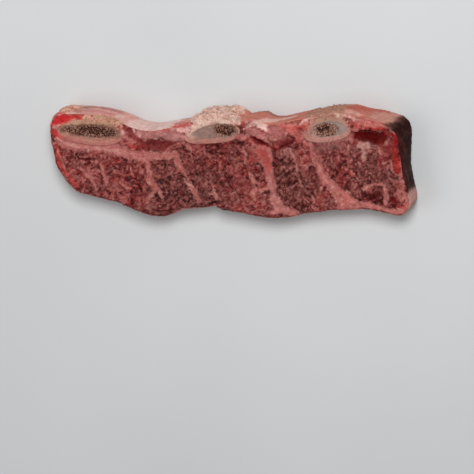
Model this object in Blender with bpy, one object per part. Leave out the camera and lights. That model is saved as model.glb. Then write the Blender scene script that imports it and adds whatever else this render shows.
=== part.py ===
"""A strip of raw beef short ribs, sawn across three ribs, lying on its lower cut face.

Modelled in metres with +Z up. +X runs along the strip and +Y points to the side that the ribs lie along.
The origin is on the resting face, under the middle of the strip's footprint. All sizes below are in
millimetres and are turned into metres when a mesh is made.
"""
import math

import bmesh
import bpy
from mathutils import Vector, noise
from mathutils.geometry import delaunay_2d_cdt

MM = 0.001

# Driving sizes of the strip
FACE_LENGTH = 200.0
THICKNESS = 18.0
OUTLINE_STEP = 3.0
FACE_STEP = 2.6
FACE_MARGIN = 1.5

# The three ribs, from left to right, where the saw went through them
RIBS = (
    {"name": "left", "centre": (-78.0, 18.2), "length": 37.0, "height": 14.0,
     "tilt": -4.0, "taper": 0.16, "arch": 0.4},
    {"name": "middle", "centre": (-8.2, 18.5), "length": 31.2, "height": 12.8,
     "tilt": 8.8, "taper": 0.18, "arch": 1.9},
    {"name": "right", "centre": (56.0, 19.6), "length": 26.0, "height": 13.5,
     "tilt": 9.0, "taper": 0.05, "arch": 1.6},
)
BONE_SEGMENTS = 32
BONE_WALL_ACROSS = 3.0
BONE_WALL_ALONG = 2.0
BONE_PROUD = 0.5
BONE_LIP = 0.7
RIB_LEAN = 1.6
MARROW_SUNK = 0.1
MARROW_PITS = 0.6
MARROW_GRAIN = 1.7
MARROW_STEP = 1.7
JOINT_GAP = 0.3

# The side away from the ribs, then the right end, as the knife left them
OUTER_EDGE = (
    (-99.5, 5.0), (-96.0, -5.5), (-88.0, -14.5), (-67.0, -20.0), (-45.0, -28.0), (-29.0, -24.0),
    (-14.0, -22.5), (-10.0, -19.8), (-5.5, -24.0), (25.0, -28.5), (46.0, -25.2), (74.0, -23.5),
    (90.5, -26.8),
)
RIGHT_END = (
    (96.0, -25.0), (97.8, -21.0), (96.6, -12.0), (95.6, -4.0), (95.0, 5.0), (94.2, 12.0), (93.2, 17.5),
)

# The rib side, from right to left: it swells over each rib and draws in between them
RIB_EDGE = (
    (88.0, 21.0), (80.0, 24.3), (73.0, 26.0), (65.0, 28.1), (57.0, 28.1), (49.0, 26.4), (36.0, 23.9),
    (28.0, 22.3), (21.0, 22.7), (15.0, 24.6), (9.5, 23.8), (5.5, 24.8), (1.0, 26.6), (-4.0, 27.7),
    (-11.5, 26.8), (-18.0, 24.2), (-25.0, 21.4), (-33.0, 20.3), (-42.0, 18.9), (-50.0, 19.6),
    (-58.0, 22.8), (-66.0, 25.8), (-76.0, 27.7), (-90.0, 28.6), (-97.0, 27.8),
)

# The sides belly out between the two rims, the rib side and the right end less: (share of the thickness,
# outward offset). The right end flares towards the foot near the ribs.
SIDE_PROFILE = ((0.0, 0.0), (0.08, 1.3), (0.28, 2.1), (0.6, 2.3), (0.88, 1.4), (0.97, 0.6))
SIDE_ROUGHNESS = 0.55
SIDE_GRAIN = 11.0
TURN_SHARPNESS = 1.5
RIB_SIDE_BELLY = 0.25
RIGHT_END_BELLY = 0.3
RIGHT_END_FLARE = 4.0
FLARE_FROM = -6.0
FLARE_FULL = 20.0
FAT_LUMP_CENTRE = (-9.0, 26.0)
FAT_LUMP_REACH = 14.0
FAT_LUMP_SWELL = 1.2
FAT_LUMP_GRAIN = 5.0
FAT_LUMP_LEVEL = 0.6

# The fat seams that part the muscles: (half width, points from the rib side to the outer side)
FAT_SEAMS = (
    (2.6, (-99.0, 11.0), (-80.0, 8.0), (-55.0, 5.5), (-42.0, 4.0), (-30.0, 5.0)),
    (2.2, (-46.0, 3.5), (-43.5, -8.0), (-40.0, -17.0)),
    (1.6, (-30.0, 5.0), (-24.0, -8.0), (-18.0, -22.0)),
    (3.4, (18.0, 12.0), (21.5, -4.0), (24.0, -17.0), (31.0, -28.0)),
    (2.6, (45.0, 11.0), (48.0, -2.0), (57.0, -12.0), (67.0, -24.0)),
    (1.8, (67.0, -24.0), (80.0, -21.5), (93.0, -24.0), (98.0, -12.0)),
)
SEAM_DEPTH = 0.9
SEAM_SLOPE = 4.5
FACE_ROUGHNESS = 0.4
FACE_GRAIN = 6.0

# Where the muscle between the ribs has drawn back from the cut: (centre, reach in X, reach in Y, depth)
HOLLOWS = (
    ((-38.0, 11.5), 15.0, 4.5, 1.1),
    ((24.0, 12.0), 13.0, 4.0, 1.0),
    ((80.0, 14.5), 12.0, 5.5, 1.4),
)
HOLLOW_STEEPNESS = 2.0

SMOOTH_BELOW_DEGREES = 50

# Settings of the triangulation: keep what lies inside the loops, and join points nearer than this
CDT_INSIDE = 2
CDT_NEAR = 1e-6

# Colours as (red, green, blue) in linear light, then roughness
COLOURS = {
    "lean_and_fat": ((0.25, 0.07, 0.07), 0.45),
    "rib_bone": ((0.45, 0.30, 0.21), 0.6),
    "marrow": ((0.12, 0.07, 0.045), 0.65),
}


def smoothstep(value):
    """0 below 0, 1 above 1, and a soft ramp between."""
    value = min(1.0, max(0.0, value))
    return value * value * (3.0 - 2.0 * value)


def catmull_rom(points, samples=8):
    """A smooth curve through the points, without its last one."""
    curve = []
    for i in range(len(points) - 1):
        before = points[max(i - 1, 0)]
        after = points[min(i + 2, len(points) - 1)]
        for k in range(samples):
            t = k / samples
            curve.append(tuple(
                0.5 * (2 * b + (c - a) * t + (2 * a - 5 * b + 4 * c - d) * t ** 2
                       + (3 * b - a - 3 * c + d) * t ** 3)
                for a, b, c, d in zip(before, points[i], points[i + 1], after)
            ))
    return curve


def strip_outline():
    """The upper cut face's edge, counter-clockwise from the left end, at equal steps."""
    left_corner = (-FACE_LENGTH / 2, 22.0)
    corners = (left_corner,) + OUTER_EDGE + RIGHT_END + RIB_EDGE + (left_corner,)
    return even_steps(catmull_rom(corners) + [left_corner], OUTLINE_STEP)


def even_steps(points, step):
    """A closed run of points at equal steps along the given one, whose last point is its first."""
    lengths = [math.dist(a, b) for a, b in zip(points, points[1:])]
    count = round(sum(lengths) / step)
    spacing = sum(lengths) / count
    placed = []
    travelled = 0.0
    for (a, b), length in zip(zip(points, points[1:]), lengths):
        while len(placed) < count and len(placed) * spacing <= travelled + length:
            t = (len(placed) * spacing - travelled) / length if length else 0.0
            placed.append((a[0] + (b[0] - a[0]) * t, a[1] + (b[1] - a[1]) * t))
        travelled += length
    return placed


def outward(loop, i):
    """The outward direction at a point of a counter-clockwise loop."""
    before, after = loop[i - 1], loop[(i + 1) % len(loop)]
    along = Vector((after[0] - before[0], after[1] - before[1])).normalized()
    return Vector((along.y, -along.x))


def side_loop(outline, depth_share, offset):
    """The outline at one depth below the upper face, moved out, with the side's unevenness."""
    loop = []
    for i, (x, y) in enumerate(outline):
        normal = outward(outline, i)
        uneven = noise.noise(Vector((x, y, depth_share * THICKNESS)) / SIDE_GRAIN)
        facing_end = smoothstep(TURN_SHARPNESS * normal.x) if x > 0.0 else 0.0
        belly = 1.0 - (1.0 - RIB_SIDE_BELLY) * smoothstep(TURN_SHARPNESS * normal.y)
        belly *= 1.0 - (1.0 - RIGHT_END_BELLY) * facing_end
        out = belly * offset * (1.0 + SIDE_ROUGHNESS * uneven)
        flare = smoothstep((y - FLARE_FROM) / (FLARE_FULL - FLARE_FROM))
        out += RIGHT_END_FLARE * flare * facing_end * depth_share
        near = smoothstep(1.0 - math.dist((x, y), FAT_LUMP_CENTRE) / FAT_LUMP_REACH)
        lump = FAT_LUMP_LEVEL + noise.noise(Vector((x, y, depth_share * THICKNESS)) / FAT_LUMP_GRAIN)
        out += near * FAT_LUMP_SWELL * lump * min(1.0, offset)
        loop.append((x + normal.x * out, y + normal.y * out))
    return loop


def bone_loop(rib, grow_along, grow_across, depth_share=0.0):
    """A rib's outline, grown by so much each way. A rib leans, so it shifts along X with depth."""
    half_length = rib["length"] / 2 + grow_along
    half_height = rib["height"] / 2 + grow_across
    turn = math.radians(rib["tilt"])
    loop = []
    for i in range(BONE_SEGMENTS):
        angle = 2 * math.pi * i / BONE_SEGMENTS
        u = half_length * math.cos(angle)
        v = half_height * math.sin(angle) * (1.0 + rib["taper"] * math.cos(angle))
        v -= rib["arch"] * math.cos(angle) ** 2
        loop.append((
            rib["centre"][0] + u * math.cos(turn) - v * math.sin(turn) + RIB_LEAN * depth_share,
            rib["centre"][1] + u * math.sin(turn) + v * math.cos(turn),
        ))
    return loop


def distance_to_run(point, points):
    """The distance from a point to a run of straight pieces."""
    nearest = math.inf
    for a, b in zip(points, points[1:]):
        start, along = Vector(a), Vector(b) - Vector(a)
        t = (Vector(point) - start).dot(along) / along.length_squared
        nearest = min(nearest, (Vector(point) - start - along * min(1.0, max(0.0, t))).length)
    return nearest


def face_height(x, y):
    """The upper cut face: the lean stands in low pillows between the fat seams."""
    depth = 0.0
    for half_width, *run in FAT_SEAMS:
        away = distance_to_run((x, y), run) - half_width
        depth = max(depth, SEAM_DEPTH * smoothstep(1.0 - away / SEAM_SLOPE))
    for (hollow_x, hollow_y), reach_x, reach_y, hollow_depth in HOLLOWS:
        away = math.hypot((x - hollow_x) / reach_x, (y - hollow_y) / reach_y)
        depth = max(depth, hollow_depth * smoothstep(HOLLOW_STEEPNESS * (1.0 - away)))
    grain = FACE_ROUGHNESS * noise.noise(Vector((x, y, 0.0)) / FACE_GRAIN)
    return THICKNESS - depth + grain


def inside(point, loop):
    """Whether a point lies inside a closed loop."""
    crossings = 0
    for (ax, ay), (bx, by) in zip(loop, loop[1:] + loop[:1]):
        if (ay > point[1]) != (by > point[1]):
            crossings += point[0] < ax + (point[1] - ay) * (bx - ax) / (by - ay)
    return crossings % 2 == 1


def lattice(outer, holes, step, margin):
    """Points of a triangular lattice inside outer, clear of every edge by margin."""
    xs = [p[0] for p in outer]
    ys = [p[1] for p in outer]
    row_step = step * math.sqrt(3) / 2
    points = []
    for row in range(int((max(ys) - min(ys)) / row_step) + 1):
        y = min(ys) + row * row_step
        for column in range(int((max(xs) - min(xs)) / step) + 1):
            x = min(xs) + (column + 0.5 * (row % 2)) * step
            if not inside((x, y), outer) or any(inside((x, y), hole) for hole in holes):
                continue
            edges = [distance_to_run((x, y), loop + loop[:1]) for loop in [outer] + holes]
            if min(edges) > margin:
                points.append((x, y))
    return points


def add_cap(bm, loops, height, step, margin, faces_up):
    """Fills the first loop, less the others, with triangles. Gives each loop's vertices back."""
    extra = lattice(loops[0], loops[1:], step, margin) if step else []
    points = [p for loop in loops for p in loop] + extra
    starts = [sum(len(loop) for loop in loops[:i]) for i in range(len(loops))]
    rings = [list(range(start, start + len(loop))) for start, loop in zip(starts, loops)]
    placed, _, triangles, origins, _, _ = delaunay_2d_cdt(
        [Vector(p) for p in points], [], rings, CDT_INSIDE, CDT_NEAR)
    triangles = [t for t in triangles if is_in_cap(placed, t, loops)]
    made = [bm.verts.new((x, y, height(x, y))) for x, y in placed]
    for triangle in triangles:
        bm.faces.new([made[k] for k in (triangle if faces_up else reversed(triangle))])
    by_origin = {k: vertex for vertex, ids in zip(made, origins) for k in ids}
    return [[by_origin[k] for k in ring] for ring in rings]


def is_in_cap(placed, triangle, loops):
    """Whether a triangle's middle lies on the face and not over a hole."""
    middle = sum((placed[k] for k in triangle), Vector((0.0, 0.0))) / 3
    return inside(middle, loops[0]) and not any(inside(middle, hole) for hole in loops[1:])


def add_ring(bm, loop, height):
    return [bm.verts.new((x, y, height)) for x, y in loop]


def add_wall(bm, rings, faces_out):
    """Joins rings of vertices, given from the top down."""
    for upper, lower in zip(rings, rings[1:]):
        for i in range(len(upper)):
            k = (i + 1) % len(upper)
            quad = [upper[i], lower[i], lower[k], upper[k]]
            bm.faces.new(quad if faces_out else quad[::-1])


def make_material(name):
    colour, roughness = COLOURS[name]
    material = bpy.data.materials.new(name)
    material.use_nodes = True
    shader = material.node_tree.nodes["Principled BSDF"]
    shader.inputs["Base Color"].default_value = (*colour, 1.0)
    shader.inputs["Roughness"].default_value = roughness
    shader.inputs["Metallic"].default_value = 0.0
    return material


def make_object(name, bm, material):
    bmesh.ops.scale(bm, vec=(MM, MM, MM), verts=bm.verts)
    mesh = bpy.data.meshes.new(name)
    bm.to_mesh(mesh)
    bm.free()
    mesh.shade_smooth()
    mesh.set_sharp_from_angle(angle=math.radians(SMOOTH_BELOW_DEGREES))
    mesh.materials.append(material)
    made = bpy.data.objects.new(name, mesh)
    bpy.context.scene.collection.objects.link(made)
    return made


def build_meat(material):
    """Lean, fat and membrane in one piece, with a hole through it for each rib."""
    bm = bmesh.new()
    outline = strip_outline()
    hole_tops = [bone_loop(rib, JOINT_GAP, JOINT_GAP) for rib in RIBS]
    hole_feet = [bone_loop(rib, JOINT_GAP, JOINT_GAP, 1.0) for rib in RIBS]
    foot = side_loop(outline, 1.0, SIDE_PROFILE[1][1] / 2)
    top = add_cap(bm, [outline] + hole_tops, face_height, FACE_STEP, FACE_MARGIN, True)
    bottom = add_cap(bm, [foot] + hole_feet, lambda x, y: 0.0, 0.0, 0.0, False)
    sides = [
        add_ring(bm, side_loop(outline, share, offset), THICKNESS * (1.0 - share))
        for share, offset in SIDE_PROFILE[1:]
    ]
    add_wall(bm, [top[0]] + sides + [bottom[0]], True)
    for upper, lower in zip(top[1:], bottom[1:]):
        add_wall(bm, [upper, lower], False)
    return make_object("meat", bm, material)


def build_bone(rib, material):
    """The hard wall of one rib: a ring from face to face, a little proud of the meat at the top."""
    bm = bmesh.new()
    top = THICKNESS + BONE_PROUD
    outer = [
        add_ring(bm, bone_loop(rib, -BONE_LIP, -BONE_LIP), top),
        add_ring(bm, bone_loop(rib, 0.0, 0.0), top - BONE_LIP),
        add_ring(bm, bone_loop(rib, 0.0, 0.0, 1.0), 0.0),
    ]
    inner = [
        add_ring(bm, bone_loop(rib, -BONE_WALL_ALONG, -BONE_WALL_ACROSS), top - BONE_LIP / 2),
        add_ring(bm, bone_loop(rib, -BONE_WALL_ALONG, -BONE_WALL_ACROSS, 1.0), 0.0),
    ]
    add_wall(bm, outer, True)
    add_wall(bm, inner, False)
    add_wall(bm, [inner[0], outer[0]], True)
    add_wall(bm, [outer[-1], inner[-1]], True)
    return make_object("bone_" + rib["name"], bm, material)


def build_marrow(rib, material):
    """The spongy core that fills the rib's wall, pitted where the saw crossed it."""
    bm = bmesh.new()
    grow = (-BONE_WALL_ALONG - JOINT_GAP, -BONE_WALL_ACROSS - JOINT_GAP)

    def pitted(x, y):
        return THICKNESS - MARROW_SUNK + MARROW_PITS * noise.noise(Vector((x, y, 0.0)) / MARROW_GRAIN)

    top = add_cap(bm, [bone_loop(rib, *grow)], pitted, MARROW_STEP, MARROW_STEP / 2, True)
    bottom = add_cap(bm, [bone_loop(rib, *grow, 1.0)], lambda x, y: 0.0, 0.0, 0.0, False)
    add_wall(bm, [top[0], bottom[0]], True)
    return make_object("marrow_" + rib["name"], bm, material)


def rest_on_origin(objects):
    """Moves every mesh so that the footprint's middle is over the origin."""
    xs = [v.co.x for made in objects for v in made.data.vertices]
    ys = [v.co.y for made in objects for v in made.data.vertices]
    zs = [v.co.z for made in objects for v in made.data.vertices]
    shift = Vector((-(min(xs) + max(xs)) / 2, -(min(ys) + max(ys)) / 2, -min(zs)))
    for made in objects:
        for vertex in made.data.vertices:
            vertex.co += shift


def build():
    for old in list(bpy.data.objects):
        bpy.data.objects.remove(old)
    materials = {name: make_material(name) for name in COLOURS}
    made = [build_meat(materials["lean_and_fat"])]
    for rib in RIBS:
        made.append(build_bone(rib, materials["rib_bone"]))
        made.append(build_marrow(rib, materials["marrow"]))
    rest_on_origin(made)


build()
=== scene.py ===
"""The looks of a strip of raw beef short ribs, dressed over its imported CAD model.

Places and sizes are in millimetres in the strip's drawing plane: +X runs along the strip, +Y to the side
that the ribs lie along, and the cut face that shows is THICKNESS above the floor. DRAWN_LEFT_RIB ties that
plane to the frame. The pattern of a cut runs down through the strip, so its sides follow from it.
"""
import math

import bmesh
import bpy
import numpy as np
from mathutils import Matrix, Vector, noise


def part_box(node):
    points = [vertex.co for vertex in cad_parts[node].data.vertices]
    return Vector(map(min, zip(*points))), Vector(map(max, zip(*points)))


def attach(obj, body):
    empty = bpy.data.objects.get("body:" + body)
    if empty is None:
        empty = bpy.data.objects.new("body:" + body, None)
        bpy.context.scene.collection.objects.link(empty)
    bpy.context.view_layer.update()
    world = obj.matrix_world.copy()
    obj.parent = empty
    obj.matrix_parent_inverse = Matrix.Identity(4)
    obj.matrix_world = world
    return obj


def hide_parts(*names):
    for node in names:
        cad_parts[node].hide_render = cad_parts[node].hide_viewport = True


MM = 0.001

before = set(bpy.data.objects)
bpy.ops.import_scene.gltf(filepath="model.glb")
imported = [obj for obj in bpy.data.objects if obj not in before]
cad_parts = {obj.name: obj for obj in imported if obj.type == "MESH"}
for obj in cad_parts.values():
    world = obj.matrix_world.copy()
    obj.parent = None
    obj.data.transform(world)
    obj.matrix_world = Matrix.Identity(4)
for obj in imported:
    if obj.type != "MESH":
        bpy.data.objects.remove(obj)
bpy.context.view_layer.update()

# The middle of the left rib's box as drawn, which gives the shift from the drawing plane to the frame
DRAWN_LEFT_RIB = (-77.23, 17.99)
rib_low, rib_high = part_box("bone_left")
SHIFT = np.array([
    (rib_low.x + rib_high.x) / 2 / MM - DRAWN_LEFT_RIB[0],
    (rib_low.y + rib_high.y) / 2 / MM - DRAWN_LEFT_RIB[1],
    0.0,
])
THICKNESS = 18.0

# The highest that a crumb may stand, and how far the ribs lean from one cut face to the other
HIGHEST = 18.95
RIB_LEAN = 1.6

# Mesh spacing, coarser for quick trials
QUICK_FACTOR = 1.0
MEAT_VOXEL = 0.5 * QUICK_FACTOR
BONE_VOXEL = 0.33 * QUICK_FACTOR

# Tissue colours, as screen values, among them a near-black painted shade and a white painted glint
CRIMSON, SCARLET, WINE, MAROON = (178, 34, 38), (178, 62, 56), (112, 26, 28), (66, 8, 9)
ROSE, PINK, PALE, CREAM = (168, 84, 80), (184, 108, 102), (216, 160, 150), (220, 184, 170)
BLUSH, SALMON, LILAC, MAUVE = (202, 150, 140), (192, 118, 102), (186, 122, 117), (142, 84, 80)
TAN, PEACH, PAINTED_SHADE, FLESH = (174, 128, 111), (228, 198, 190), (40, 10, 9), (150, 72, 66)
GOLD, UMBER, PAINTED_GLINT, RED = (198, 150, 125), (128, 92, 86), (230, 190, 182), (202, 40, 46)

# Fat seams of the cut, as (x, y, half width) from the rib side to the outer side
FAT_SEAMS = (
    ((-98.5, 13, 1.2), (-91, 10.5, 2.2), (-80, 10.2, 2), (-71, 9, 2.6), (-62.5, 7.3, 2.8), (-53, 5, 2.8),
     (-46, 4.4, 2.2), (-39.5, 4.9, 1.7), (-32, 5.2, 1.6), (-29.5, 5, 1.2)),
    ((-30.5, 6, 1.6), (-29.5, 1.5, 1.4), (-27.5, -2.5, 1.1), (-25.5, -6.5, 0.5), (-23.5, -11.5, 0.7),
     (-21, -16, 1.2), (-19.5, -20.5, 0.8)),
    ((-47.5, 2.5, 1), (-46.5, -4, 1.2), (-45.5, -9, 1.6), (-44, -12.5, 1.2), (-46, -17, 0.7),
     (-49, -21.5, 0.4)),
    ((-44, -12.5, 1.2), (-41, -15.5, 0.9), (-39.5, -19, 0.4)),
    ((-88, -0.5, 0.4), (-84, -3, 0.6), (-81, -5.7, 1.5), (-79, -9.5, 0.9), (-77.8, -13.5, 0.5)),
    ((-74.5, 0.5, 0.4), (-72.5, -4.5, 0.7), (-71, -9.5, 0.9)),
    ((19.5, 9.5, 3.8), (21, 4, 3.2), (21, -1.5, 2.5), (22, -8.5, 2.2), (23, -15, 2.1),
     (24.5, -20.5, 2.6), (27, -24.5, 2.6)),
    ((22, -26, 0.7), (27, -25.5, 1.8), (33, -26.5, 1.6), (38.5, -27.5, 0.6)),
    ((22, -12, 1), (18, -13.2, 0.9), (14, -13.6, 0.9), (11.5, -15.5, 0.7), (12, -18, 0.4)),
    ((45.5, 11.5, 1), (47, 6.5, 1.3), (48.5, 2.5, 1.5), (50, -2, 1.8), (52, -7, 2.2), (55, -10.5, 2.3),
     (58.5, -14.5, 2.7), (61.5, -20, 3.6)),
    ((58.5, -14.5, 2.4), (63.5, -19, 3.6), (69.5, -23, 2.8)),
    ((61.5, -23, 2.4), (73, -22, 1.6), (81, -23.5, 1.2), (87, -25, 1.3), (92, -25.5, 1.6),
     (96, -23.5, 1.5), (97.5, -18, 1)),
    ((96.5, 5.5, 0.4), (95.5, -0.5, 0.6), (94.8, -6.5, 0.7), (95, -13, 0.7), (96.5, -18, 0.9)),
    ((74, -13.5, 0.1), (76, -11.3, 0.3), (79.5, -10.2, 0.4), (83, -10.3, 0.5), (85.3, -12.8, 0.5),
     (86, -16, 0.6), (84.8, -20.5, 0.5)),
)

# Thin pale lines inside the muscles, in the same form
VEINS = (
    ((-57, -0.5, 0.4), (-55.5, -4.5, 0.3)),
    ((-64, -9.5, 0.3), (-60.5, -12.5, 0.5), (-56.5, -14, 0.3)),
    ((-59, -16, 0.4), (-61, -20, 0.3)),
    ((-5.5, 0.5, 0.5), (-5.5, -3, 0.3), (-5.5, -8.5, 0.4)),
    ((-21.5, 10.5, 0.4), (-20.5, 5.5, 0.4), (-21, 0.5, 0.2)),
    ((-10.5, -10, 0.4), (-10, -14, 0.6), (-9.5, -17, 0.9), (-9, -19.5, 0.5)),
    ((-14, -15, 0.3), (-12, -16.5, 0.4), (-10, -16.5, 0.5)),
    ((-1.5, -17, 0.6), (2, -15, 0.5), (5, -14, 0.3)),
    ((21, -13, 0.5), (17, -14, 0.5), (13, -14.5, 0.6), (12, -16.5, 0.4), (12.5, -20, 0.3)),
    ((11, -4, 0.4), (12.5, -7, 1.2), (13, -10.5, 0.9)),
    ((8.5, 8.5, 0.4), (9.5, 4.5, 0.6), (8.5, 1, 0.3)),
    ((35, 8.5, 0.6), (36.5, 5, 0.7), (38, 1, 0.6), (38, -4.5, 0.5), (38.5, -9, 0.5), (39.5, -13, 0.3)),
    ((38, 0, 0.4), (44, 0, 0.5), (48, 1, 0.4)),
    ((52.5, -9.5, 0.6), (50, -13, 0.8), (49, -15, 0.4)),
    ((44.5, -16.5, 0.4), (46, -19.5, 0.5), (45, -23.5, 0.4), (48, -24.5, 0.4)),
    ((41, -19, 0.4), (44, -22, 0.4)),
    ((86.5, -16, 0.6), (89.5, -16.5, 0.4), (94.5, -14, 0.4)),
    ((85, 1.5, 0.4), (90.5, 1.5, 0.6), (90.5, -2.5, 0.4), (92.5, -5, 0.5), (95, -5, 0.4)),
    ((66, -2, 0.3), (69, -5, 0.4), (71, -9, 0.3)),
    ((-77.5, -2.5, 0.3), (-79.5, -4.5, 0.5)),
)

# Crevices where bundles and muscles part, cut into the relief and darkened with painted shade
CLEFTS = (
    ((13.5, 15.3, 0.1), (15.5, 14.2, 0.6), (18.5, 12.2, 0.8), (21, 10.8, 0.5), (23, 9.5, 0.2),
     (26.5, 8.6, 0.3)),
    ((28.5, 9.3, 0.3), (31, 10.3, 0.5), (34, 11.5, 0.3), (36.5, 13, 0.4), (37, 14.8, 0.2)),
    ((-87, 4, 0.3), (-83, 3, 0.5), (-78.5, 3, 0.4), (-74, 3.6, 0.2)),
    ((-79, -2.5, 0.3), (-76.5, -1, 0.4), (-74.5, -3, 0.3)),
    ((-66.5, -1, 0.3), (-63, -3, 0.4), (-60.5, -0.5, 0.2)),
    ((-52, 0.5, 0.2), (-49, -3, 0.4), (-50, -8, 0.3)),
    ((-21.5, -5.5, 0.3), (-16.5, -6, 0.5), (-13, -8.5, 0.3)),
    ((-11.5, 7.5, 0.3), (-7, 6.5, 0.4), (0, 6.5, 0.3)),
    ((-47, -25, 0.4), (-41, -26.5, 0.5), (-34.5, -25, 0.4)),
    ((72, 17.5, 0.3), (78, 18, 0.5), (86, 17, 0.4)),
)
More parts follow.
